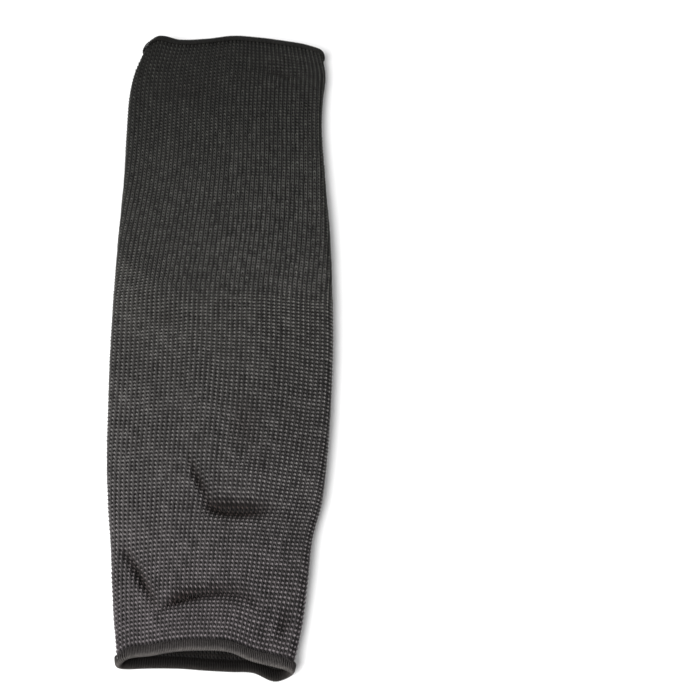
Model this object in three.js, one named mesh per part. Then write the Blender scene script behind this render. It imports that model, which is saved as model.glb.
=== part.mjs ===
// A cut resistant arm sleeve, knitted as one seamless tube from wire-cored yarn and lying flat on a table.
// The wrist mouth gapes towards -Y, the upper arm mouth lies towards +Y, and +Z is up.
// Each mouth has a hem of overlock thread, a channel that grips the raw edge of the knit.
import * as THREE from "three";

// Driving dimensions, in millimetres.
const KNIT_LENGTH = 398; // the knitted tube from raw edge to raw edge
const FLAT_WIDTH = 124; // across the widest part as it lies
const KNIT_WALL = 2; // one layer of the knit
const EDGE_WALL = 1.4; // the same layer where the hem squeezes it
const SIDE_FOLD_RADIUS = 5; // middle of the wall, where the tube folds at each side
const CROWN_RISE = 10; // how far the upper layer bulges above the side folds
const EDGE_PULL = 5; // how far a mouth's edge is pulled out of square
const HEM_THREAD = 0.8; // overlock thread over each face of the knit
const HEM_REACH = 4.5; // how far the thread reaches up the knit
const HEM_RIM = 2.1; // rounded rim past the raw edge
const SEAT_GAP = 0.3; // between the knit and the hem that grips it
const HEM_LIFT_RUN = 16; // the knit comes down from the hem's thickness to the table in this length
const EDGE_PULL_RUN = 56; // a pulled edge is square again this far in

// How finely the shape is cut into flat faces.
const LOWER_STEPS = 14; // across the flat lower layer
const FOLD_STEPS = 6; // round each side fold
const UPPER_STEPS = 30; // across the upper layer
const STEPS_AROUND = LOWER_STEPS + UPPER_STEPS + 2 * FOLD_STEPS;
const CREASED_STEPS = 22; // along the stretch above the wrist that holds the deep folds
const PLAIN_STEPS = 17; // along the rest
const CREASED_SHARE = 0.3; // that stretch as a share of the length
const RIM_STEPS = 3;

// Cross sections from the wrist to the upper arm. at is a share of the length; width and drift, the shift of
// the section's middle towards +X, are shares of FLAT_WIDTH; fold is a share of SIDE_FOLD_RADIUS and rise
// one of CROWN_RISE.
const SECTIONS = [
  { at: 0.0, width: 0.67, drift: -0.014, fold: 0.9, rise: 0.72 },
  { at: 0.05, width: 0.734, drift: -0.008, fold: 0.94, rise: 0.66 },
  { at: 0.1, width: 0.778, drift: -0.006, fold: 1.0, rise: 0.52 },
  { at: 0.15, width: 0.815, drift: -0.005, fold: 1.0, rise: 0.6 },
  { at: 0.2, width: 0.879, drift: 0.004, fold: 1.0, rise: 0.58 },
  { at: 0.26, width: 0.924, drift: 0.006, fold: 1.0, rise: 0.66 },
  { at: 0.34, width: 0.961, drift: 0.009, fold: 1.0, rise: 0.66 },
  { at: 0.45, width: 0.992, drift: 0.009, fold: 1.0, rise: 0.6 },
  { at: 0.6, width: 1.0, drift: 0.005, fold: 1.0, rise: 0.52 },
  { at: 0.72, width: 0.98, drift: -0.004, fold: 0.96, rise: 0.46 },
  { at: 0.82, width: 0.978, drift: -0.014, fold: 0.88, rise: 0.42 },
  { at: 0.89, width: 0.992, drift: -0.01, fold: 0.82, rise: 0.38 },
  { at: 0.945, width: 0.99, drift: 0.004, fold: 0.76, rise: 0.32 },
  { at: 1.0, width: 0.93, drift: 0.022, fold: 0.7, rise: 0.22 },
];

// How far each mouth's edge is drawn in, as shares of EDGE_PULL. Negative stands out. across runs from the
// left fold at -1 to the right fold at 1, and each mouth has an upper and a lower layer.
const MOUTH_EDGES = [
  { across: -1.0, wristUpper: 0.15, wristLower: 0.1, armUpper: 0.5, armLower: 0.5 },
  { across: -0.85, wristUpper: 0.7, wristLower: 0.15, armUpper: -0.85, armLower: -0.5 },
  { across: -0.6, wristUpper: 0.7, wristLower: 0.15, armUpper: 0.15, armLower: 0.35 },
  { across: -0.3, wristUpper: 0.85, wristLower: 0.05, armUpper: 0.25, armLower: 0.4 },
  { across: 0.0, wristUpper: 0.85, wristLower: -0.2, armUpper: -0.15, armLower: 0.2 },
  { across: 0.3, wristUpper: 0.65, wristLower: -0.4, armUpper: 0.25, armLower: 0.45 },
  { across: 0.55, wristUpper: -0.1, wristLower: -0.55, armUpper: 0.7, armLower: 0.9 },
  { across: 0.8, wristUpper: -0.5, wristLower: -1.4, armUpper: 1.2, armLower: 1.35 },
  { across: 1.0, wristUpper: -0.9, wristLower: -0.95, armUpper: 2.1, armLower: 2.1 },
];

// Folds in the upper layer. Each runs from one point to another, as shares across the section and along the
// length, and bows sideways by a share of its own length. lift is a share of CROWN_RISE, negative for a dent,
// and spread, its half width, is a share of FLAT_WIDTH.
const FOLDS = [
  // Just above the wrist, where the mouth flares up again
  { x1: -0.5, y1: 0.054, x2: 0.62, y2: 0.063, bow: 0.09, lift: -0.42, spread: 0.032 },
  { x1: -0.5, y1: 0.056, x2: -0.04, y2: 0.07, bow: 0.06, lift: -0.42, spread: 0.03 },
  { x1: -0.93, y1: 0.155, x2: -0.5, y2: 0.048, bow: 0.02, lift: -0.42, spread: 0.028 },
  { x1: 0.8, y1: 0.028, x2: 0.86, y2: 0.068, bow: 0.0, lift: -0.26, spread: 0.034 },
  // The deep dent that the forearm leaves, the crease running into it and the bulge over it
  { x1: -0.1, y1: 0.188, x2: 0.62, y2: 0.183, bow: -0.02, lift: -0.64, spread: 0.036 },
  { x1: -0.1, y1: 0.197, x2: 0.2, y2: 0.184, bow: -0.04, lift: -0.3, spread: 0.032 },
  { x1: -0.24, y1: 0.264, x2: 0.0, y2: 0.188, bow: -0.04, lift: -0.38, spread: 0.024 },
  { x1: -0.02, y1: 0.232, x2: 0.6, y2: 0.218, bow: 0.0, lift: 0.18, spread: 0.05 },
  // Shallow waves along the rest
  { x1: -0.4, y1: 0.48, x2: -0.02, y2: 0.225, bow: 0.05, lift: 0.2, spread: 0.07 },
  { x1: 0.26, y1: 0.36, x2: 0.22, y2: 0.245, bow: 0.0, lift: -0.2, spread: 0.08 },
  { x1: -0.66, y1: 0.49, x2: -0.24, y2: 0.435, bow: 0.0, lift: -0.18, spread: 0.055 },
  { x1: -0.85, y1: 0.53, x2: -0.35, y2: 0.51, bow: 0.0, lift: 0.1, spread: 0.06 },
  { x1: -0.8, y1: 0.9, x2: 0.1, y2: 0.895, bow: -0.08, lift: -0.2, spread: 0.1 },
  { x1: 0.18, y1: 0.94, x2: 0.88, y2: 0.922, bow: 0.0, lift: -0.24, spread: 0.05 },
];

const CROWN_FULLNESS = 3; // above 2 the crown is fuller towards the side folds
const PROBE = 0.2; // half the distance over which the wall's slope is taken
const HEM_HALF = EDGE_WALL / 2 + SEAT_GAP + HEM_THREAD; // half the thickness of a hem

// Reads one column of a table at a value of its key column, along a smooth curve through the rows.
function readTable(rows, key, column, value) {
  const last = rows.length - 1;
  if (value <= rows[0][key]) return rows[0][column];
  if (value >= rows[last][key]) return rows[last][column];
  const i = rows.findIndex((row) => row[key] > value) - 1;
  const slope = (k) => {
    const a = rows[Math.max(k - 1, 0)];
    const b = rows[Math.min(k + 1, last)];
    return (b[column] - a[column]) / (b[key] - a[key]);
  };
  const run = rows[i + 1][key] - rows[i][key];
  const t = (value - rows[i][key]) / run;
  const stay = 2 * t ** 3 - 3 * t ** 2 + 1;
  return (
    stay * rows[i][column] +
    (1 - stay) * rows[i + 1][column] +
    (t ** 3 - 2 * t ** 2 + t) * run * slope(i) +
    (t ** 3 - t ** 2) * run * slope(i + 1)
  );
}

// Falls smoothly from 1 at 0 to 0 at the end of a run.
function fadeOut(distance, run) {
  return 1 - THREE.MathUtils.smoothstep(distance, 0, run);
}

// The upper layer's bulge, from 1 in the middle to 0 at the side folds.
function crown(across) {
  return (1 - Math.abs(across) ** CROWN_FULLNESS) ** 2;
}

// How far the folds lift the upper layer, across the section from -1 to 1 and at a share of the length.
function foldLift(across, share) {
  let lift = 0;
  for (const fold of FOLDS) {
    const start = new THREE.Vector2((fold.x1 * FLAT_WIDTH) / 2, fold.y1 * KNIT_LENGTH);
    const chord = new THREE.Vector2((fold.x2 * FLAT_WIDTH) / 2, fold.y2 * KNIT_LENGTH).sub(start);
    const run = chord.length();
    const offset = new THREE.Vector2((across * FLAT_WIDTH) / 2, share * KNIT_LENGTH).sub(start);
    const t = offset.dot(chord) / run ** 2;
    const aside = offset.cross(chord) / run + fold.bow * run * 4 * t * (1 - t);
    const taper = fadeOut(Math.abs(2 * t - 1), 1.25);
    lift += fold.lift * CROWN_RISE * taper * Math.exp(-((aside / (fold.spread * FLAT_WIDTH)) ** 2));
  }
  return lift;
}

// The middle of the knitted wall. turn runs from 0 to 1: from the middle of the lower layer to the right
// fold, over the upper layer and back by the left fold. along is the distance from the raw wrist edge.
function wallMiddle(turn, along) {
  const share = THREE.MathUtils.clamp(along / KNIT_LENGTH, 0, 1);
  const half = (FLAT_WIDTH * readTable(SECTIONS, "at", "width", share) - KNIT_WALL) / 2;
  const radius = SIDE_FOLD_RADIUS * readTable(SECTIONS, "at", "fold", share);
  const flat = half - radius; // half the width between the side folds

  const rest = turn - Math.floor(turn);
  const fromLeft = rest > 0.5; // the left half mirrors the right one
  const steps = (fromLeft ? 1 - rest : rest) * STEPS_AROUND; // from the middle of the lower layer
  const isLower = steps < LOWER_STEPS / 2;
  const isUpper = steps > LOWER_STEPS / 2 + FOLD_STEPS;
  let out; // distance from the section's middle
  let up; // height above the lower layer
  if (isLower) {
    out = (flat * steps) / (LOWER_STEPS / 2);
    up = 0;
  } else if (isUpper) {
    out = (flat * (STEPS_AROUND / 2 - steps)) / (UPPER_STEPS / 2);
    up = 2 * radius + CROWN_RISE * readTable(SECTIONS, "at", "rise", share) * crown(out / flat);
  } else {
    const angle = (Math.PI * (steps - LOWER_STEPS / 2)) / FOLD_STEPS;
    out = flat + radius * Math.sin(angle);
    up = radius * (1 - Math.cos(angle));
  }

  const across = (fromLeft ? -out : out) / half;
  const upper = THREE.MathUtils.smoothstep(up, 0, 2 * radius); // 0 on the lower layer, 1 on the upper
  up += upper * foldLift(across, share);

  const fromArm = KNIT_LENGTH - along;
  const hemLift = Math.max(
    fadeOut(along - HEM_REACH, HEM_LIFT_RUN),
    fadeOut(fromArm - HEM_REACH, HEM_LIFT_RUN),
  );
  const floor = KNIT_WALL / 2 + (HEM_HALF - KNIT_WALL / 2) * hemLift;

  const pull = (layer) => readTable(MOUTH_EDGES, "across", layer, across) * EDGE_PULL;
  const wristPull = THREE.MathUtils.lerp(pull("wristLower"), pull("wristUpper"), upper);
  const armPull = THREE.MathUtils.lerp(pull("armLower"), pull("armUpper"), upper);
  return new THREE.Vector3(
    across * half + FLAT_WIDTH * readTable(SECTIONS, "at", "drift", share),
    along + wristPull * fadeOut(along, EDGE_PULL_RUN) - armPull * fadeOut(fromArm, EDGE_PULL_RUN),
    floor + up,
  );
}

// A point of the wall, out from its middle along the outward normal.
function wallPoint(turn, along, out) {
  const alongWay = wallMiddle(turn, along + PROBE).sub(wallMiddle(turn, along - PROBE));
  const probeTurn = PROBE / FLAT_WIDTH;
  const aroundWay = wallMiddle(turn + probeTurn, along).sub(wallMiddle(turn - probeTurn, along));
  return wallMiddle(turn, along).addScaledVector(alongWay.cross(aroundWay).normalize(), out);
}

// Sweeps a closed profile of { along, out } points round the sleeve. The profile runs towards the upper arm
// on its outer side.
function sweepAround(profile) {
  const corners = [];
  const faces = [];
  const count = profile.length;
  for (let i = 0; i < STEPS_AROUND; i++) {
    for (let j = 0; j < count; j++) {
      corners.push(...wallPoint(i / STEPS_AROUND, profile[j].along, profile[j].out));
      const here = i * count + j;
      const next = i * count + ((j + 1) % count);
      const beside = ((i + 1) % STEPS_AROUND) * count + j;
      const diagonal = ((i + 1) % STEPS_AROUND) * count + ((j + 1) % count);
      faces.push(here, next, diagonal, here, diagonal, beside);
    }
  }
  const geometry = new THREE.BufferGeometry();
  geometry.setAttribute("position", new THREE.Float32BufferAttribute(corners, 3));
  geometry.setIndex(faces);
  geometry.computeVertexNormals();
  return geometry;
}

// The places along the knit where its faces meet, with a short step inside each hem.
function knitStops() {
  const underHem = HEM_REACH + SEAT_GAP;
  const creased = KNIT_LENGTH * CREASED_SHARE;
  const stops = [0];
  for (let i = 0; i < CREASED_STEPS; i++) {
    stops.push(THREE.MathUtils.lerp(underHem, creased, i / CREASED_STEPS));
  }
  for (let i = 0; i <= PLAIN_STEPS; i++) {
    stops.push(THREE.MathUtils.lerp(creased, KNIT_LENGTH - underHem, i / PLAIN_STEPS));
  }
  return [...stops, KNIT_LENGTH];
}

// The knitted tube: its outer skin from wrist to upper arm, and its inner skin back again.
function knitProfile() {
  const outer = knitStops().map((along) => {
    const fromEdge = Math.min(along, KNIT_LENGTH - along);
    const squeezed = fadeOut(fromEdge - HEM_REACH - SEAT_GAP, HEM_LIFT_RUN);
    return { along, out: THREE.MathUtils.lerp(KNIT_WALL, EDGE_WALL, squeezed) / 2 };
  });
  const inner = outer.map(({ along, out }) => ({ along, out: -out })).reverse();
  return [...outer, ...inner];
}

// A hem's channel, as distances in from the raw edge: the round rim, then the two faces and the slot between.
function hemProfile() {
  const slot = EDGE_WALL / 2 + SEAT_GAP;
  const rim = [];
  for (let i = 0; i <= RIM_STEPS; i++) {
    const angle = Math.PI * (i / RIM_STEPS - 0.5);
    rim.push({ inward: -HEM_RIM * Math.cos(angle), out: HEM_HALF * Math.sin(angle) });
  }
  return [
    ...rim,
    { inward: HEM_REACH, out: HEM_HALF },
    { inward: HEM_REACH, out: slot },
    { inward: -SEAT_GAP, out: slot },
    { inward: -SEAT_GAP, out: -slot },
    { inward: HEM_REACH, out: -slot },
    { inward: HEM_REACH, out: -HEM_HALF },
  ];
}

function addPiece(group, name, profile, color, roughness) {
  const material = new THREE.MeshStandardMaterial({ color, roughness, metalness: 0 });
  const piece = new THREE.Mesh(sweepAround(profile), material);
  piece.name = name;
  group.add(piece);
}

const sleeve = new THREE.Group();
addPiece(sleeve, "knit_tube", knitProfile(), 0x3c3b3a, 0.85);
addPiece(
  sleeve,
  "wrist_hem",
  hemProfile().map(({ inward, out }) => ({ along: inward, out })),
  0x35312f,
  0.9,
);
addPiece(
  sleeve,
  "upper_arm_hem",
  hemProfile().map(({ inward, out }) => ({ along: KNIT_LENGTH - inward, out })).reverse(),
  0x2a2a28,
  0.9,
);

// The origin is the middle of the footprint, on the table.
const middle = new THREE.Box3().setFromObject(sleeve).getCenter(new THREE.Vector3());
sleeve.position.set(-middle.x, -middle.y, 0);

export default sleeve;
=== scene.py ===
import math

import bpy
import numpy as np
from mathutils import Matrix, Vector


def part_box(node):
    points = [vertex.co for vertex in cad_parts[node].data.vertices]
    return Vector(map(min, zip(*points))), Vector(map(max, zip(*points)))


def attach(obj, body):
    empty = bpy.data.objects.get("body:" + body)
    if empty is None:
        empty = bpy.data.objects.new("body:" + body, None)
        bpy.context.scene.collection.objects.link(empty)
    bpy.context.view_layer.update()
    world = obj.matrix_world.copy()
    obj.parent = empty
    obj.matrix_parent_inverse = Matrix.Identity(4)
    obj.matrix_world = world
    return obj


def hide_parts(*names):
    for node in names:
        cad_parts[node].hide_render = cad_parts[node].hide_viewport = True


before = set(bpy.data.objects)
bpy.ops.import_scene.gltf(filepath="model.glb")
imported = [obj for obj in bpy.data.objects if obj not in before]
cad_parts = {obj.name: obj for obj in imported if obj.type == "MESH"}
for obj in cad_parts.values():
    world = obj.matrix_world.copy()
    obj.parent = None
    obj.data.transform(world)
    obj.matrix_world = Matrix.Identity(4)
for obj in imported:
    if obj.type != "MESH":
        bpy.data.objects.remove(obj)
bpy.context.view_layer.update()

# The ground of the knit
# The sleeve is one tube, knitted in the round and laid flat. The ground is the tight inside of the fabric,
# where the loops' legs lie side by side. The courses of yarn stand out of it, bumpy side out.
MM = 0.001
KNIT_LENGTH = 398.0
FLAT_WIDTH = 124.0
KNIT_WALL = 2.0
SIDE_FOLD_RADIUS = 5.0
CROWN_RISE = 10.0
CROWN_FULLNESS = 3.0
EDGE_PULL = 5.0
EDGE_PULL_RUN = 56.0
HEM_REACH = 4.5
HEM_HALF = 1.8
HEM_LIFT_RUN = 16.0

# Cross sections from the wrist, with widths and drifts as shares of the flat width
SECTIONS = [
    dict(at=0.0, width=0.67, drift=-0.014, fold=0.9, rise=0.72),
    dict(at=0.05, width=0.734, drift=-0.008, fold=0.94, rise=0.66),
    dict(at=0.1, width=0.778, drift=-0.006, fold=1.0, rise=0.52),
    dict(at=0.15, width=0.815, drift=-0.005, fold=1.0, rise=0.6),
    dict(at=0.2, width=0.879, drift=0.004, fold=1.0, rise=0.58),
    dict(at=0.26, width=0.924, drift=0.006, fold=1.0, rise=0.66),
    dict(at=0.34, width=0.961, drift=0.009, fold=1.0, rise=0.66),
    dict(at=0.45, width=0.992, drift=0.009, fold=1.0, rise=0.6),
    dict(at=0.6, width=1.0, drift=0.005, fold=1.0, rise=0.52),
    dict(at=0.72, width=0.98, drift=-0.004, fold=0.96, rise=0.46),
    dict(at=0.82, width=0.978, drift=-0.014, fold=0.88, rise=0.42),
    dict(at=0.89, width=0.992, drift=-0.01, fold=0.82, rise=0.38),
    dict(at=0.945, width=0.99, drift=0.004, fold=0.76, rise=0.32),
    dict(at=1.0, width=0.93, drift=0.022, fold=0.7, rise=0.22),
]

# How far the mouths' edges are drawn in, across from the left fold to the right one
MOUTH_EDGES = [
    dict(across=-1.0, wrist_upper=0.15, wrist_lower=0.1, arm_upper=0.5, arm_lower=0.5),
    dict(across=-0.85, wrist_upper=0.7, wrist_lower=0.15, arm_upper=-0.85, arm_lower=-0.5),
    dict(across=-0.6, wrist_upper=0.7, wrist_lower=0.15, arm_upper=0.15, arm_lower=0.35),
    dict(across=-0.3, wrist_upper=0.85, wrist_lower=0.05, arm_upper=0.25, arm_lower=0.4),
    dict(across=0.0, wrist_upper=0.85, wrist_lower=-0.2, arm_upper=-0.15, arm_lower=0.2),
    dict(across=0.3, wrist_upper=0.65, wrist_lower=-0.4, arm_upper=0.25, arm_lower=0.45),
    dict(across=0.55, wrist_upper=-0.1, wrist_lower=-0.55, arm_upper=0.7, arm_lower=0.9),
    dict(across=0.8, wrist_upper=-0.5, wrist_lower=-1.4, arm_upper=1.2, arm_lower=1.35),
    dict(across=1.0, wrist_upper=-0.9, wrist_lower=-0.95, arm_upper=2.1, arm_lower=2.1),
]

# Folds in the upper layer, from one point to another across and along it
FOLDS = [
    # Just above the wrist, where the mouth flares up again
    dict(x1=-0.5, y1=0.054, x2=0.62, y2=0.063, bow=0.09, lift=-0.42, spread=0.032),
    dict(x1=-0.5, y1=0.056, x2=-0.04, y2=0.07, bow=0.06, lift=-0.42, spread=0.03),
    dict(x1=-0.93, y1=0.155, x2=-0.5, y2=0.048, bow=0.02, lift=-0.42, spread=0.028),
    dict(x1=0.8, y1=0.028, x2=0.86, y2=0.068, bow=0.0, lift=-0.26, spread=0.034),
    # The deep dent that the forearm leaves, the crease running into it and the bulge over it
    dict(x1=-0.1, y1=0.188, x2=0.62, y2=0.183, bow=-0.02, lift=-0.64, spread=0.036),
    dict(x1=-0.1, y1=0.197, x2=0.2, y2=0.184, bow=-0.04, lift=-0.3, spread=0.032),
    dict(x1=-0.24, y1=0.264, x2=0.0, y2=0.188, bow=-0.04, lift=-0.38, spread=0.024),
    dict(x1=-0.02, y1=0.232, x2=0.6, y2=0.218, bow=0.0, lift=0.18, spread=0.05),
    # Shallow waves along the rest
    dict(x1=-0.4, y1=0.48, x2=-0.02, y2=0.225, bow=0.05, lift=0.2, spread=0.07),
    dict(x1=0.26, y1=0.36, x2=0.22, y2=0.245, bow=0.0, lift=-0.2, spread=0.08),
    dict(x1=-0.66, y1=0.49, x2=-0.24, y2=0.435, bow=0.0, lift=-0.18, spread=0.055),
    dict(x1=-0.85, y1=0.53, x2=-0.35, y2=0.51, bow=0.0, lift=0.1, spread=0.06),
    dict(x1=-0.8, y1=0.9, x2=0.1, y2=0.895, bow=-0.08, lift=-0.2, spread=0.1),
    dict(x1=0.18, y1=0.94, x2=0.88, y2=0.922, bow=0.0, lift=-0.24, spread=0.05),
]
FOLD_TAPER = 1.25


def smooth_table(rows, key, column, value):
    """Reads a column of a table along a smooth curve through its rows."""
    keys = np.array([row[key] for row in rows])
    values = np.array([row[column] for row in rows])
    ends = np.arange(len(rows))
    before = np.maximum(ends - 1, 0)
    after = np.minimum(ends + 1, len(rows) - 1)
    slopes = (values[after] - values[before]) / (keys[after] - keys[before])
    value = np.clip(value, keys[0], keys[-1])
    i = np.clip(np.searchsorted(keys, value, side="right") - 1, 0, len(rows) - 2)
    run = keys[i + 1] - keys[i]
    t = (value - keys[i]) / run
    stay = 2 * t**3 - 3 * t**2 + 1
    lean_out = (t**3 - 2 * t**2 + t) * run * slopes[i]
    lean_in = (t**3 - t**2) * run * slopes[i + 1]
    return stay * values[i] + (1 - stay) * values[i + 1] + lean_out + lean_in


def fade_out(distance, run):
    """Falls smoothly from 1 at 0 to 0 at the end of a run."""
    t = np.clip(distance / run, 0, 1)
    return 1 - t * t * (3 - 2 * t)


def fold_lift(across, share):
    """How far the folds lift the upper layer, in millimetres, at a place across and along the sleeve."""
    lift = np.zeros_like(across)
    for fold in FOLDS:
        start = np.array([fold["x1"] * FLAT_WIDTH / 2, fold["y1"] * KNIT_LENGTH])
        end = np.array([fold["x2"] * FLAT_WIDTH / 2, fold["y2"] * KNIT_LENGTH])
        chord = end - start
        run = np.hypot(*chord)
        x = across * FLAT_WIDTH / 2 - start[0]
        y = share * KNIT_LENGTH - start[1]
        t = (x * chord[0] + y * chord[1]) / run**2
        aside = (x * chord[1] - y * chord[0]) / run + fold["bow"] * run * 4 * t * (1 - t)
        taper = fade_out(np.abs(2 * t - 1), FOLD_TAPER)
        ridge = np.exp(-((aside / (fold["spread"] * FLAT_WIDTH)) ** 2))
        lift += fold["lift"] * CROWN_RISE * taper * ridge
    return lift


def wall_middle(turn, along):
    """The middle of the knit, turning from the middle of the lower layer past the right fold."""
    share = np.clip(along / KNIT_LENGTH, 0, 1)
    half = (FLAT_WIDTH * smooth_table(SECTIONS, "at", "width", share) - KNIT_WALL) / 2
    radius = SIDE_FOLD_RADIUS * smooth_table(SECTIONS, "at", "fold", share)
    flat = half - radius
    bend = np.pi * radius
    rest = turn - np.floor(turn)
    side = np.where(rest > 0.5, -1.0, 1.0)
    walked = np.where(rest > 0.5, 1 - rest, rest) * (4 * flat + 2 * bend)
    angle = np.clip((walked - flat) / radius, 0, np.pi)
    over = np.maximum(walked - flat - bend, 0)
    out = np.minimum(walked, flat) + radius * np.sin(angle) - over
    up = radius * (1 - np.cos(angle))
    across = side * out / half
    bulge = np.where(over > 0, (1 - np.clip(out / flat, 0, 1) ** CROWN_FULLNESS) ** 2, 0)
    up = up + CROWN_RISE * smooth_table(SECTIONS, "at", "rise", share) * bulge
    upper = 1 - fade_out(up, 2 * radius)
    up = up + upper * fold_lift(across, share)
    from_arm = KNIT_LENGTH - along
    hem_lift = np.maximum(
        fade_out(along - HEM_REACH, HEM_LIFT_RUN),
        fade_out(from_arm - HEM_REACH, HEM_LIFT_RUN),
    )
    floor_gap = KNIT_WALL / 2 + (HEM_HALF - KNIT_WALL / 2) * hem_lift

    def pull(mouth):
        lower = smooth_table(MOUTH_EDGES, "across", mouth + "_lower", across)
        return lower + upper * (smooth_table(MOUTH_EDGES, "across", mouth + "_upper", across) - lower)

    drawn_in = pull("wrist") * fade_out(along, EDGE_PULL_RUN)
    drawn_in = drawn_in - pull("arm") * fade_out(from_arm, EDGE_PULL_RUN)
    x = across * half + FLAT_WIDTH * smooth_table(SECTIONS, "at", "drift", share)
    return np.stack([x, along + EDGE_PULL * drawn_in, floor_gap + up], axis=-1)


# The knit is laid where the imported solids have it
STEPS_AROUND = 721
STEPS_ALONG = 200
knit_low, knit_high = (np.array(corner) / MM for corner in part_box("knit_tube"))
turns, lengths = np.meshgrid(np.linspace(0, 1, STEPS_AROUND), np.linspace(0, KNIT_LENGTH, STEPS_ALONG))
laid = wall_middle(turns, lengths)
LAID_AT = np.array([
    (knit_low[0] + knit_high[0] - laid[..., 0].min() - laid[..., 0].max()) / 2,
    (knit_low[1] + knit_high[1] - laid[..., 1].min() - laid[..., 1].max()) / 2,
    0.0,
])


def wall_frame(turn, along):
    """The knit's middle in its place, with its directions around, ahead and out."""
    step = 0.2
    turn_step = step / (2 * FLAT_WIDTH)
    around = wall_middle(turn + turn_step, along) - wall_middle(turn - turn_step, along)
    ahead = wall_middle(turn, along + step) - wall_middle(turn, along - step)
    out = np.cross(ahead, around)
    out /= np.linalg.norm(out, axis=-1, keepdims=True)
    ahead /= np.linalg.norm(ahead, axis=-1, keepdims=True)
    return wall_middle(turn, along) + LAID_AT, np.cross(out, ahead), ahead, out


def points_of(mesh):
    """A mesh's points, in its own units."""
    co = np.empty(len(mesh.vertices) * 3, np.float32)
    mesh.vertices.foreach_get("co", co)
    return co.reshape(-1, 3).astype(float)


def set_points(mesh, points):
    """Moves a mesh's points to places given in millimetres."""
    mesh.vertices.foreach_set("co", (points * MM).astype(np.float32).ravel())
    mesh.update()


def close_seam(piece):
    """Joins the two sides where a wrapped piece meets itself."""
    bpy.ops.object.select_all(action="DESELECT")
    piece.select_set(True)
    bpy.context.view_layer.objects.active = piece
    bpy.ops.object.mode_set(mode="EDIT")
    bpy.ops.mesh.select_all(action="SELECT")
    bpy.ops.mesh.remove_doubles(threshold=0.00001)
    bpy.ops.object.mode_set(mode="OBJECT")
    bpy.ops.object.shade_smooth()


def new_material(name):
    """A new material, with its nodes and its shader."""
    material = bpy.data.materials.new(name)
    material.use_nodes = True
    tree = material.node_tree
    return material, tree, tree.nodes["Principled BSDF"]


def join(tree, value, socket):
    """Sets a socket to a value, or links it to another node's output."""
    if isinstance(value, bpy.types.NodeSocket):
        tree.links.new(value, socket)
    else:
        socket.default_value = value


def sum_of(tree, operation, *values):
    """A Math node's answer."""
    node = tree.nodes.new("ShaderNodeMath")
    node.operation = operation
    for value, socket in zip(values, node.inputs):
        join(tree, value, socket)
    return node.outputs["Value"]


def colour_run(tree, share, stops):
    """A run of colours along a value from 0 to 1."""
    node = tree.nodes.new("ShaderNodeValToRGB")
    join(tree, share, node.inputs["Fac"])
    while len(node.color_ramp.elements) < len(stops):
        node.color_ramp.elements.new(1)
    for element, (at, colour) in zip(node.color_ramp.elements, stops):
        element.position = at
        element.color = (*colour, 1)
    return node.outputs["Color"]


def tint(tree, colour, other):
    """Two colours multiplied."""
    node = tree.nodes.new("ShaderNodeMix")
    node.data_type = "RGBA"
    node.blend_type = "MULTIPLY"
    node.inputs["Factor"].default_value = 1
    join(tree, colour, node.inputs["A"])
    join(tree, other, node.inputs["B"])
    return node.outputs["Result"]


def mottle(tree, size, low, high):
    """Uneven patches of a size in metres, as grey from low to high."""
    place = tree.nodes.new("ShaderNodeTexCoord").outputs["Object"]
    node = tree.nodes.new("ShaderNodeTexNoise")
    node.inputs["Scale"].default_value = 1 / size
    node.inputs["Detail"].default_value = 2
    join(tree, place, node.inputs["Vector"])
    return colour_run(tree, node.outputs["Fac"], [(0.3, (low,) * 3), (0.7, (high,) * 3)])


def uv_of(tree, uv_map):
    """The two values of a UV map."""
    node = tree.nodes.new("ShaderNodeUVMap")
    node.uv_map = uv_map
    split = tree.nodes.new("ShaderNodeSeparateXYZ")
    join(tree, node.outputs["UV"], split.inputs["Vector"])
    return split.outputs["X"], split.outputs["Y"]


def raise_bumps(tree, shader, height, depth):
    """Bumps of a depth in metres, from a height of 0 to 1."""
    node = tree.nodes.new("ShaderNodeBump")
    node.inputs["Strength"].default_value = 1
    node.inputs["Distance"].default_value = depth
    join(tree, height, node.inputs["Height"])
    join(tree, node.outputs["Normal"], shader.inputs["Normal"])


WALES = 96
COURSES = 175
GROUND_FACE = -0.15
GROUND_WALL = 0.65
GROUND_AROUND = 120
GROUND_ALONG = 140

bpy.ops.object.select_all(action="DESELECT")
bpy.ops.mesh.primitive_grid_add(x_subdivisions=GROUND_AROUND, y_subdivisions=GROUND_ALONG, size=1)
knit_ground = bpy.context.object
knit_ground.name = "knit_ground"
sheet_points = points_of(knit_ground.data)
place, around, ahead, out = wall_frame(0.5 - sheet_points[:, 0], (sheet_points[:, 1] + 0.5) * KNIT_LENGTH)
set_points(knit_ground.data, place + out * GROUND_FACE)
close_seam(knit_ground)
wall = knit_ground.modifiers.new("wall", "SOLIDIFY")
wall.thickness = GROUND_WALL * MM
wall.offset = -1
bpy.ops.object.modifier_apply(modifier=wall.name)

# Inside, the smooth side of the knit shows: each stitch is a V, in columns with a dark line between, painted
# as shade in the grooves. The whole ground is coloured far darker than the yarn, as painted shade in the gaps
# between the courses and inside the tube.
LEG_FROM_COLUMN = 0.27
LEG_NARROWNESS = 3.6
STRAND_FULLNESS = 0.6
ground_yarn, tree, shader = new_material("knit_inside")
round_share, along_share = uv_of(tree, "UVMap")
from_column = sum_of(tree, "PINGPONG", sum_of(tree, "MULTIPLY", round_share, WALES), 0.5)
beside_leg = sum_of(tree, "ABSOLUTE", sum_of(tree, "SUBTRACT", from_column, LEG_FROM_COLUMN))
leg = sum_of(tree, "SUBTRACT", 1, sum_of(tree, "MULTIPLY", beside_leg, LEG_NARROWNESS))
slant = sum_of(tree, "ADD", sum_of(tree, "MULTIPLY", along_share, COURSES), from_column)
strand = sum_of(tree, "MULTIPLY", sum_of(tree, "PINGPONG", slant, 0.5), 2)
v_stitch = sum_of(tree, "MULTIPLY", leg, sum_of(tree, "POWER", strand, STRAND_FULLNESS))
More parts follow.
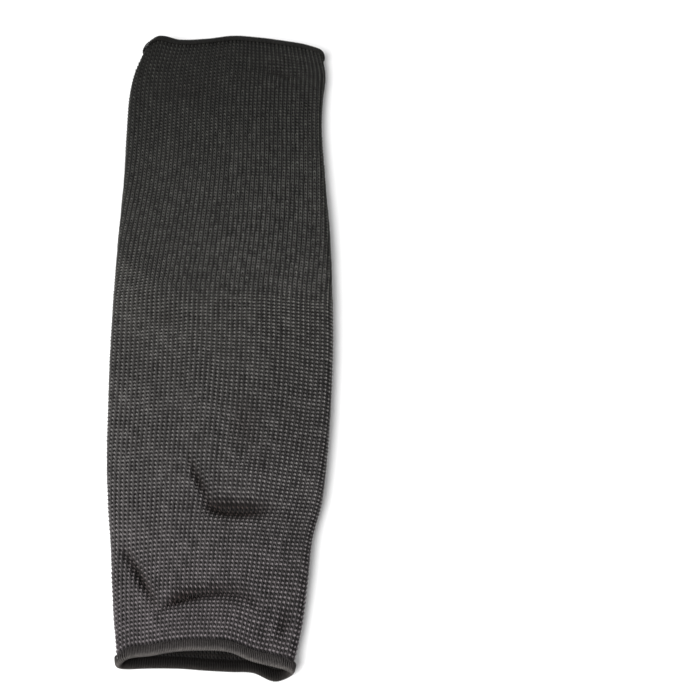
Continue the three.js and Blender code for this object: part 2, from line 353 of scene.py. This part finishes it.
# Painted shade: the ground's colour is kept far darker than the yarn's, darkest between the V's legs.
inside_colour_and_shade = colour_run(tree, v_stitch, [(0.0, (0.004, 0.0038, 0.0036)), (1.0, (0.03, 0.027, 0.025))])
join(tree, tint(tree, inside_colour_and_shade, mottle(tree, 0.006, 0.75, 1.15)), shader.inputs["Base Color"])
shader.inputs["Roughness"].default_value = 0.8
shader.inputs["Specular IOR Level"].default_value = 0.05
raise_bumps(tree, shader, v_stitch, depth=0.0004)
knit_ground.data.materials.append(ground_yarn)

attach(knit_ground, "root")
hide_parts("knit_tube")


# The courses of yarn
# Each course is one row of loops of wire-cored yarn round the tube. On this bumpy side a loop's head, falling
# leg and foot stand out, and its rising leg lies behind. The loops are one stitch, repeated round and along
# the sleeve, then laid on its form.
BANDS = 5
WALE = 2.6
COURSE = 2.2
YARN = 1.14
YARN_FLATTENED = 0.72
LOOP_HEIGHT = 2.18
LOOP_BULGE = 0.09
LOOP_DEPTH = 0.42
LEG_DEPTH = -0.7
LOOP_TWIST = 0.45
YARN_SIDES = 3
FIRST_COURSE = 3.2

# The courses' pitch along the sleeve: looser over the forearm, tight above the elbow, loose again at the top.
# Wales lean by so much in a millimetre, and courses slope down to the right by so much.
KNIT_LAY = [
    dict(at=0.0, pitch=2.3, lean=0.05, slope=0.0, rib=0.0),
    dict(at=0.1, pitch=2.25, lean=0.07, slope=0.02, rib=0.0),
    dict(at=0.2, pitch=2.12, lean=0.06, slope=0.06, rib=0.0),
    dict(at=0.3, pitch=2.2, lean=0.06, slope=0.08, rib=0.0),
    dict(at=0.4, pitch=2.28, lean=0.02, slope=0.06, rib=0.0),
    dict(at=0.485, pitch=2.2, lean=0.0, slope=0.04, rib=0.0),
    dict(at=0.515, pitch=1.98, lean=0.08, slope=0.04, rib=1.0),
    dict(at=0.6, pitch=2.0, lean=0.09, slope=0.03, rib=1.0),
    dict(at=0.7, pitch=2.2, lean=0.07, slope=-0.04, rib=1.0),
    dict(at=0.8, pitch=2.55, lean=0.02, slope=-0.09, rib=0.9),
    dict(at=0.9, pitch=2.75, lean=-0.04, slope=-0.07, rib=0.8),
    dict(at=1.0, pitch=2.85, lean=-0.08, slope=0.0, rib=0.8),
]

LOOP_PHASES = [0, 36, 120, 150, 180, 210, 240, 324, 360]
phases = np.radians(LOOP_PHASES)
loop_path = np.stack([
    WALE * (phases / (2 * np.pi) + LOOP_BULGE * np.sin(2 * phases)),
    -COURSE * LOOP_HEIGHT / 2 * np.cos(phases),
    np.zeros_like(phases),
], axis=-1)
loop_heading = np.arctan2(
    COURSE * LOOP_HEIGHT / 2 * np.sin(phases),
    WALE * (1 / (2 * np.pi) + 2 * LOOP_BULGE * np.cos(2 * phases)),
)


def draw_yarn(name, path, headings, axis, radii, sides):
    """Draws a length of yarn along a path, turning its ring about an axis as the heading turns."""
    bpy.ops.object.select_all(action="DESELECT")
    facing = (math.radians(90), 0, math.radians(90)) if axis == "Z" else (math.radians(90), 0, 0)
    bpy.ops.mesh.primitive_circle_add(vertices=sides, radius=radii[0], location=path[0], rotation=facing)
    yarn = bpy.context.object
    yarn.name = name
    bpy.ops.object.transform_apply(location=True, rotation=True, scale=True)
    bpy.ops.object.mode_set(mode="EDIT")
    bpy.ops.transform.rotate(value=-headings[0], orient_axis=axis, center_override=path[0])
    for k in range(1, len(path)):
        bpy.ops.mesh.extrude_edges_move(TRANSFORM_OT_translate={"value": path[k] - path[k - 1]})
        turned = headings[k] - headings[k - 1]
        bpy.ops.transform.rotate(value=-turned, orient_axis=axis, center_override=path[k])
        bpy.ops.transform.resize(value=[radii[k] / radii[k - 1]] * 3, center_override=path[k])
    bpy.ops.mesh.select_all(action="SELECT")
    bpy.ops.mesh.normals_make_consistent(inside=False)
    bpy.ops.object.mode_set(mode="OBJECT")
    # Each point keeps its stand-off from the yarn's core, so that the yarn is as thick wherever it is laid
    steps = np.arange(len(yarn.data.vertices)) // sides
    stand = yarn.data.attributes.new("stand_off", "FLOAT_VECTOR", "POINT")
    stand.data.foreach_set("vector", (points_of(yarn.data) - path[steps]).astype(np.float32).ravel())
    yarn_map = yarn.data.uv_layers.new(name="yarn")
    for face in yarn.data.polygons:
        places = [yarn.data.loops[i].vertex_index for i in face.loop_indices]
        wraps = 0 in [i % sides for i in places] and sides - 1 in [i % sides for i in places]
        for i, place in zip(face.loop_indices, places):
            side = sides if wraps and place % sides == 0 else place % sides
            yarn_map.data[i].uv = (place // sides / (len(path) - 1), side / sides)
    return yarn


stitch = draw_yarn("stitch", loop_path, loop_heading, "Z", [YARN / 2] * len(loop_path), YARN_SIDES)


def repeat(piece, count, offset, merge):
    """Repeats a piece in a row and applies it."""
    bpy.context.view_layer.objects.active = piece
    row = piece.modifiers.new("row", "ARRAY")
    row.count = count
    row.use_relative_offset = False
    row.use_constant_offset = True
    row.constant_offset_displace = offset
    row.use_merge_vertices = merge
    row.merge_threshold = 0.001
    bpy.ops.object.modifier_apply(modifier=row.name)


bpy.ops.object.select_all(action="DESELECT")
stitch.select_set(True)
repeat(stitch, WALES, (WALE, 0, 0), True)
repeat(stitch, COURSES // BANDS, (0, COURSE, 0), False)

# The lay of every course and wale along the sleeve
LAY_STEPS = 1600
lay_along = np.linspace(0, KNIT_LENGTH, LAY_STEPS)
lay_share = lay_along / KNIT_LENGTH
course_count = np.cumsum(1 / smooth_table(KNIT_LAY, "at", "pitch", lay_share)) * (lay_along[1] - lay_along[0])
first = np.interp(FIRST_COURSE, lay_along, course_count)
last = np.interp(KNIT_LENGTH - FIRST_COURSE, lay_along, course_count)
course_count = (course_count - first) / (last - first) * (COURSES - 1)
wale_shift = np.cumsum(smooth_table(KNIT_LAY, "at", "lean", lay_share)) * (lay_along[1] - lay_along[0])
wale_shift /= 2 * FLAT_WIDTH

UNEVEN_WAVES = 12
MOST_WAVES_ROUND = 30
MOST_WAVES_A_COURSE = 0.22
WAVE_START = 6.28


def uneven(x, y, seed):
    """A slow hand unevenness, the same on each run, that meets itself round the tube."""
    chance = np.random.default_rng(seed)
    total = np.zeros_like(x)
    for _ in range(UNEVEN_WAVES):
        round_waves = chance.integers(-MOST_WAVES_ROUND, MOST_WAVES_ROUND + 1)
        along_waves = chance.uniform(-MOST_WAVES_A_COURSE, MOST_WAVES_A_COURSE)
        waves = round_waves * x / (WALES * WALE) + along_waves * y / COURSE
        total += np.sin(2 * np.pi * waves + chance.uniform(0, WAVE_START))
    return total / UNEVEN_WAVES**0.5


def core_and_offsets(mesh):
    """The points of the yarn's core, and how far each point of its skin stands off it."""
    offsets = np.empty(len(mesh.vertices) * 3, np.float32)
    mesh.attributes["stand_off"].data.foreach_get("vector", offsets)
    offsets = offsets.reshape(-1, 3).astype(float)
    return points_of(mesh) - offsets, offsets


# How far a stitch stands out along its yarn, at each of the loop's phases: foot, head at 180, foot
HEADS_OUT = [0.0, 0.0, 0.0, 0.2, 0.9, 1.0, 0.0, 0.0, 0.0]
FALLING_OUT = [0.0, 0.0, 0.0, 0.0, 0.0, 0.0, 1.0, 0.0, 0.0]
FEET_OUT = [1.0, 0.75, 0.0, 0.0, 0.0, 0.0, 0.0, 0.7, 1.0]
RIBS_OUT = [0.34, 0.4, 0.54, 0.7, 0.88, 0.78, 0.56, 0.42, 0.34]

# The feet and falling legs against the heads, the legs further out towards the left fold. Through the yarn's
# colour by how far it stands out, this also paints the left side lighter, as painted light.
FEET_SHARE = 0.76
FEET_UNEVEN = 0.08
FALLING_SHARE = 0.52
FALLING_LEAST = 0.4
FALLING_MOST = 0.64
FALLING_RUN = 400.0

# The upper half is pulled into ribs. They start higher near the left fold, and are weaker in patches
RIB_START = 0.498
RIB_RISE = 0.075
RIB_RISE_FROM = 30.0
RIB_RISE_RUN = 22.0
RIB_FADE = 0.04
RIB_PATCHES = 0.4

COURSE_WAVER = 0.06
PULL_SPREAD = 0.07
MOST_OUT = 1.15
CREASE_SHADE_FULL = 5.6
WAVER_SEED, FEET_SEED, RIB_SEED, PULL_SEED = 3, 7, 8, 5
loop_pull = np.random.default_rng(PULL_SEED).normal(1, PULL_SPREAD, (COURSES, WALES))
all_courses = []

for band in range(BANDS):
    courses = bpy.data.objects.new(f"courses_{band + 1}", stitch.data.copy())
    bpy.context.collection.objects.link(courses)
    mesh = courses.data
    core, offsets = core_and_offsets(mesh)
    beside = np.interp(core[:, 0] / WALE % 1, loop_path[:, 0] / WALE, np.degrees(phases))
    from_head = np.cos(np.radians(beside))
    row = core[:, 1] / COURSE + band * (COURSES // BANDS)
    height = uneven(core[:, 0], row * COURSE, WAVER_SEED) * COURSE_WAVER
    along = np.interp(row + height, course_count, lay_along)
    share = along / KNIT_LENGTH
    twisted = core[:, 0] + LOOP_TWIST * from_head
    turn = -twisted / (WALE * WALES) - np.interp(along, lay_along, wale_shift)
    lateral = wall_middle(turn, along)[:, 0]
    along = along - lateral * smooth_table(KNIT_LAY, "at", "slope", share)
    rib_start = RIB_START + RIB_RISE * np.clip((-lateral - RIB_RISE_FROM) / RIB_RISE_RUN, 0, 1)
    rib = smooth_table(KNIT_LAY, "at", "rib", share)
    rib = rib * (1 - fade_out(share - rib_start + RIB_FADE / 2, RIB_FADE))
    rib = rib * (1 - RIB_PATCHES * np.clip(uneven(core[:, 0], row * COURSE, RIB_SEED), 0, 1))
    foot = FEET_SHARE + FEET_UNEVEN * uneven(core[:, 0], row * COURSE, FEET_SEED)
    falling = np.clip(FALLING_SHARE - lateral / FALLING_RUN, FALLING_LEAST, FALLING_MOST)
    rows_out = np.interp(beside, LOOP_PHASES, HEADS_OUT) + foot * np.interp(beside, LOOP_PHASES, FEET_OUT)
    rows_out += falling * np.interp(beside, LOOP_PHASES, FALLING_OUT)
    ribs_out = np.interp(beside, LOOP_PHASES, RIBS_OUT)
    stand_out = rows_out + rib * (ribs_out - rows_out)
    loop = np.floor(core[:, 0] / WALE).astype(int) % WALES
    course = np.clip(np.round(row), 0, COURSES - 1).astype(int)
    stand_out = np.clip(stand_out * loop_pull[course, loop], 0, MOST_OUT)
    # The yarn's colour follows how far it stands out, and how deep in a fold of the upper layer it lies:
    # painted shade, darker between the loops and in the folds.
    standing = mesh.attributes.new("standing", "FLOAT", "POINT")
    standing.data.foreach_set("value", np.clip(stand_out, 0, 1).astype(np.float32))
    half = (FLAT_WIDTH * smooth_table(SECTIONS, "at", "width", share) - KNIT_WALL) / 2
    across = (lateral - FLAT_WIDTH * smooth_table(SECTIONS, "at", "drift", share)) / half
    on_upper = np.abs(turn - np.floor(turn) - 0.5) < 0.25
    # Painted shade: yarn deep in a fold's valley on the upper layer is marked to be coloured darker.
    crease_shade = mesh.attributes.new("crease_shade", "FLOAT", "POINT")
    fold_depth = -fold_lift(across, along / KNIT_LENGTH) / CREASE_SHADE_FULL
    painted_crease_shade = np.where(on_upper, np.clip(fold_depth, 0, 1), 0)
    crease_shade.data.foreach_set("value", painted_crease_shade.astype(np.float32))
    stand_out = LEG_DEPTH + (LOOP_DEPTH - LEG_DEPTH) * stand_out
    place, around, ahead, out = wall_frame(turn, along)
    lift = YARN_FLATTENED * offsets[:, 2:] + stand_out[:, None]
    laid = place - around * offsets[:, :1] + ahead * offsets[:, 1:2] + out * lift
    set_points(mesh, laid)
    close_seam(courses)
    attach(courses, "root")
    all_courses.append(courses)


# Grey glass-like staple twisted round a steel core. Painted shade: its colour is lighter where it stands out
# and darker where it lies back, darker up the arm in place of the light's falloff, and darker in the folds'
# valleys.
ZONES_LENGTH = 0.4
TWISTS_A_STITCH = 10
PLIES = 2
yarn_cloth, tree, shader = new_material("wire_cored_yarn")
standing = tree.nodes.new("ShaderNodeAttribute")
standing.attribute_name = "standing"
# Painted shade: darkest where the yarn lies back between the loops, lightest where it stands out.
yarn_colour_and_shade = colour_run(tree, standing.outputs["Fac"], [
    (0.0, (0.004, 0.0038, 0.0037)),
    (0.42, (0.009, 0.0087, 0.0084)),
    (0.72, (0.076, 0.074, 0.072)),
    (1.0, (0.222, 0.217, 0.212)),
])
spot = tree.nodes.new("ShaderNodeSeparateXYZ")
join(tree, tree.nodes.new("ShaderNodeTexCoord").outputs["Object"], spot.inputs["Vector"])
sleeve_share = sum_of(tree, "ADD", sum_of(tree, "MULTIPLY", spot.outputs["Y"], 1 / ZONES_LENGTH), 0.5)
# Painted shade: the yarn's colour darkens towards the upper arm in place of the light's falloff there, with a
# slight change of tint along the way.
zone_falloff_shade = colour_run(tree, sleeve_share, [
    (0.0, (0.97, 0.87, 0.94)),
    (0.25, (0.86, 0.83, 0.835)),
    (0.5, (0.7, 0.693, 0.666)),
    (0.75, (0.49, 0.497, 0.462)),
    (1.0, (0.225, 0.229, 0.205)),
])
yarn_colour_and_shade = tint(tree, yarn_colour_and_shade, zone_falloff_shade)
crease_shade = tree.nodes.new("ShaderNodeAttribute")
crease_shade.attribute_name = "crease_shade"
# Painted shade in the creases: darker and browner the deeper the fold.
crease_shade_colour = colour_run(tree, crease_shade.outputs["Fac"], [(0.06, (1, 1, 1)), (0.85, (0.3, 0.235, 0.215))])
yarn_colour_and_shade = tint(tree, yarn_colour_and_shade, crease_shade_colour)
yarn_colour_and_shade = tint(tree, yarn_colour_and_shade, mottle(tree, 0.0022, 0.8, 1.2))
yarn_colour_and_shade = tint(tree, yarn_colour_and_shade, mottle(tree, 0.02, 0.9, 1.1))
join(tree, yarn_colour_and_shade, shader.inputs["Base Color"])
stitch_share, round_yarn = uv_of(tree, "yarn")
twists = sum_of(tree, "MULTIPLY", stitch_share, TWISTS_A_STITCH)
twist = sum_of(tree, "ADD", twists, sum_of(tree, "MULTIPLY", round_yarn, PLIES))
raise_bumps(tree, shader, sum_of(tree, "PINGPONG", twist, 0.5), depth=0.00018)
shader.inputs["Roughness"].default_value = 0.55
shader.inputs["Specular IOR Level"].default_value = 0.2
shader.inputs["Sheen Weight"].default_value = 0.03
for courses in all_courses:
    courses.data.materials.append(yarn_cloth)


# The wrist hem
# The raw edge of the wrist is bound by an overlock machine: dark thread wraps tightly over it, stitch by
# stitch, and lies as a small rounded rim along the very edge.
HEM_PITCH = 0.8
WRIST_STITCHES = 214
HEM_SIDES = 4
HEM_PATH = np.array([
    [-0.5, 3.1, 1.12],
    [0.0, 2.75, 1.42],
    [0.0, 1.8, 1.45],
    [0.02, 0.6, 1.4],
    [0.15, -0.5, 1.22],
    [0.35, -1.25, 0.72],
    [0.5, -1.45, 0.0],
    [0.65, -1.25, -0.72],
    [0.85, -0.5, -1.22],
    [0.98, 0.6, -1.4],
    [1.0, 1.8, -1.45],
    [1.0, 2.75, -1.42],
    [1.5, 3.1, -1.12],
]) * np.array([HEM_PITCH, 1, 1])
HEM_RADII = [0.3, 0.34, 0.34, 0.36, 0.44, 0.48, 0.5, 0.48, 0.44, 0.36, 0.34, 0.34, 0.3]

# The heading is the path's turn about the edge, from straight down the outer face to up the inner one
hem_steps = np.gradient(HEM_PATH, axis=0)
hem_heading = np.unwrap(np.arctan2(-hem_steps[:, 2], -hem_steps[:, 1]))
hem_stitch = draw_yarn("hem_stitch", HEM_PATH, hem_heading, "X", HEM_RADII, HEM_SIDES)


def bind_edge(name, stitches, from_arm):
    """Repeats the hem's stitch along a mouth's edge and lays it there."""
    hem = bpy.data.objects.new(name, hem_stitch.data.copy())
    bpy.context.collection.objects.link(hem)
    repeat(hem, stitches, (HEM_PITCH, 0, 0), False)
    core, offsets = core_and_offsets(hem.data)
    turn = core[:, 0] / (HEM_PITCH * stitches)
    hand = 1 if from_arm else -1
    along = KNIT_LENGTH - core[:, 1] if from_arm else core[:, 1]
    place, around, ahead, out = wall_frame(hand * turn, along)
    stand = offsets * np.array([hand, -hand, 1])
    laid = place + around * stand[:, :1] + ahead * stand[:, 1:2] + out * (core[:, 2:] + offsets[:, 2:])
    set_points(hem.data, laid)
    close_seam(hem)
    return hem


wrist_hem = bind_edge("wrist_overlock", WRIST_STITCHES, False)

TWISTS_A_WRAP = 24


def colour_thread(name, stops):
    """Spun thread, its colours given along the wrap from the outer face round the rim to the inner face."""
    material, tree, shader = new_material(name)
    wrap_share, round_thread = uv_of(tree, "yarn")
    thread_colour_and_light = tint(tree, colour_run(tree, wrap_share, stops), mottle(tree, 0.0012, 0.7, 1.3))
    join(tree, tint(tree, thread_colour_and_light, mottle(tree, 0.012, 0.85, 1.15)), shader.inputs["Base Color"])
    twists = sum_of(tree, "MULTIPLY", wrap_share, TWISTS_A_WRAP)
    twist = sum_of(tree, "ADD", twists, sum_of(tree, "MULTIPLY", round_thread, PLIES))
    raise_bumps(tree, shader, sum_of(tree, "PINGPONG", twist, 0.5), depth=0.00012)
    shader.inputs["Roughness"].default_value = 0.62
    shader.inputs["Specular IOR Level"].default_value = 0.15
    return material


# Painted light: the thread is lighter just outside the rim, as painted highlight, and near black on the inner
# face, as painted shade inside the mouth.
wrist_thread = colour_thread("wrist_thread", [
    (0.0, (0.03, 0.027, 0.026)),
    (0.3, (0.042, 0.038, 0.037)),
    (0.42, (0.085, 0.078, 0.074)),
    (0.5, (0.055, 0.05, 0.047)),
    (0.58, (0.018, 0.0155, 0.014)),
    (0.75, (0.007, 0.006, 0.0055)),
])
wrist_hem.data.materials.append(wrist_thread)
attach(wrist_hem, "root")
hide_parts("wrist_hem")


# The upper arm hem
# The wide mouth is bound by the same overlock stitch, wrapped over the raw edge in the same way. Its thread
# is coloured near black, darker than at the wrist, as painted shade at this end away from the light, with a
# slightly lighter rim as painted highlight.
ARM_STITCHES = 290

arm_hem = bind_edge("upper_arm_overlock", ARM_STITCHES, True)
# Painted shade: near black, with a slightly lighter rim as painted highlight.
arm_thread = colour_thread("upper_arm_thread", [
    (0.0, (0.014, 0.0135, 0.0125)),
    (0.5, (0.02, 0.0195, 0.018)),
    (1.0, (0.012, 0.0115, 0.0105)),
])
arm_hem.data.materials.append(arm_thread)
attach(arm_hem, "root")
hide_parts("upper_arm_hem")
bpy.data.objects.remove(hem_stitch)
bpy.data.objects.remove(stitch)


# The floor, the light and the camera
# A plain pale floor, one large soft light from the lower left, and the camera at the photo's own angle.
bpy.ops.mesh.primitive_plane_add(size=6)
floor = bpy.context.object
floor.name = "floor"
floor_paper, tree, shader = new_material("floor_paper")
join(tree, mottle(tree, 0.3, 0.855, 0.865), shader.inputs["Base Color"])
shader.inputs["Roughness"].default_value = 0.8
floor.data.materials.append(floor_paper)

world = bpy.data.worlds.new("studio")
bpy.context.scene.world = world
world.use_nodes = True
world.node_tree.nodes["Background"].inputs["Color"].default_value = (1, 1, 1, 1)
world.node_tree.nodes["Background"].inputs["Strength"].default_value = 0.62

bpy.ops.object.light_add(
    type="AREA",
    location=(-0.7, -0.9, 1.3),
    rotation=(math.radians(41), 0, math.radians(-38)),
)
key = bpy.context.object
key.name = "key_light"
key.data.shape = "DISK"
key.data.size = 1.3
key.data.energy = 44

bpy.ops.object.camera_add(
    location=(0.06243, -0.33551, 0.53552),
    rotation=(math.radians(30), 0, math.radians(-1.637)),
)
camera = bpy.context.object
camera.data.lens = 57.6
camera.data.sensor_width = 36
bpy.context.scene.camera = camera
bpy.context.scene.view_settings.view_transform = "Standard"
